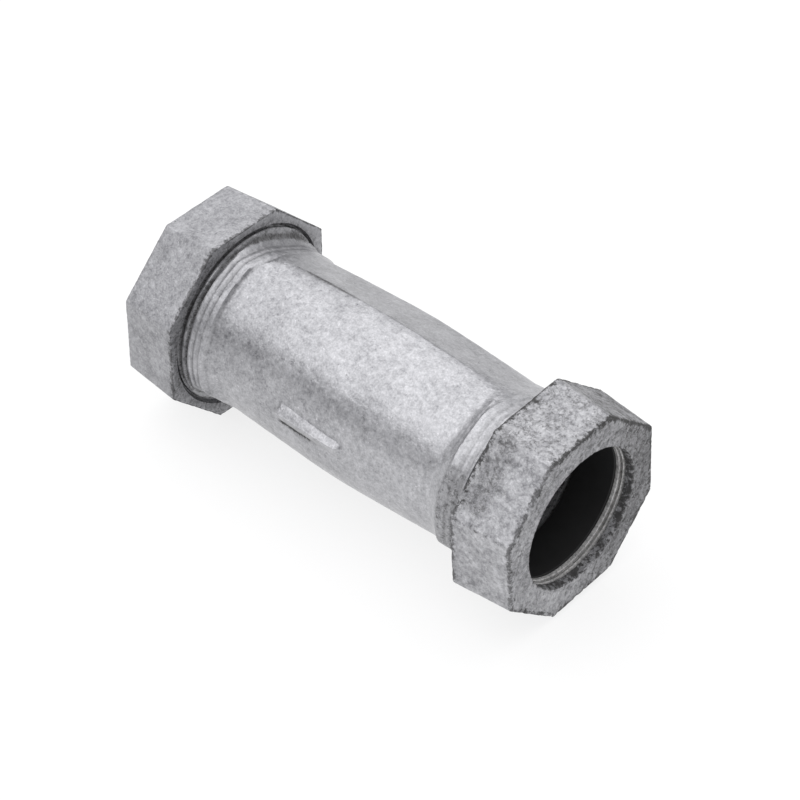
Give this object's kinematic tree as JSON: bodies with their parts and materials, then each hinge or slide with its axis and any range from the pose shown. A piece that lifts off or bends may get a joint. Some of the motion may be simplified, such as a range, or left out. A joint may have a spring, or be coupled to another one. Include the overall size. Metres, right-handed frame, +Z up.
{
  "type": "pipe coupling",
  "caption": "Long galvanised compression coupling: round cast barrel with threaded ends, an octagonal nut on each end, and rubber and metal rings inside for plain-ended steel pipe.",
  "frame": {"origin": "middle of the coupling, on the pipe axis", "axes": "+X along the pipe axis to the front nut, +Z up, with the rear nut's flats level at top and bottom"},
  "size_m": [0.1466, 0.0648, 0.0648],
  "materials": {
    "galvanised_casting": "hot-dip galvanised, mottled and slightly rough",
    "galvanised_nut": "hot-dip galvanised, scuffed, stained in the edges",
    "zinc_plated_steel": "zinc plated, dull",
    "seal_rubber": "matt moulded rubber"
  },
  "bodies": {
    "coupling": {"coupling_body": "galvanised_casting", "front_sealing_ring": "seal_rubber", "rear_sealing_ring": "seal_rubber"},
    "front_rings": {"front_clamping_ring": "zinc_plated_steel", "front_thrust_washer": "zinc_plated_steel"},
    "front_nut": {"front_nut": "galvanised_nut"},
    "rear_rings": {"rear_clamping_ring": "zinc_plated_steel", "rear_thrust_washer": "zinc_plated_steel"},
    "rear_nut": {"rear_nut": "galvanised_nut"}
  },
  "joints": [
    {"name": "front_nut_travel", "type": "slide", "parent": "coupling", "child": "front_rings", "axis": [1, 0, 0], "range_m": [-0.0029, 0.00925], "deforming": ["front_sealing_ring"]},
    {"name": "front_nut_turn", "type": "hinge", "parent": "front_rings", "child": "front_nut", "pos_m": [0.0633, 0, 0], "axis": [1, 0, 0], "range_deg": [-450, 1440]},
    {"name": "rear_nut_travel", "type": "slide", "parent": "coupling", "child": "rear_rings", "axis": [-1, 0, 0], "range_m": [-0.0029, 0.00925], "deforming": ["rear_sealing_ring"]},
    {"name": "rear_nut_turn", "type": "hinge", "parent": "rear_rings", "child": "rear_nut", "pos_m": [-0.0633, 0, 0], "axis": [-1, 0, 0], "range_deg": [-450, 1440]}
  ],
  "couplings": [
    {"joint": "front_nut_travel", "follows": "front_nut_turn", "m_per_rad": 0.00036749},
    {"joint": "rear_nut_travel", "follows": "rear_nut_turn", "m_per_rad": 0.00036749}
  ]
}
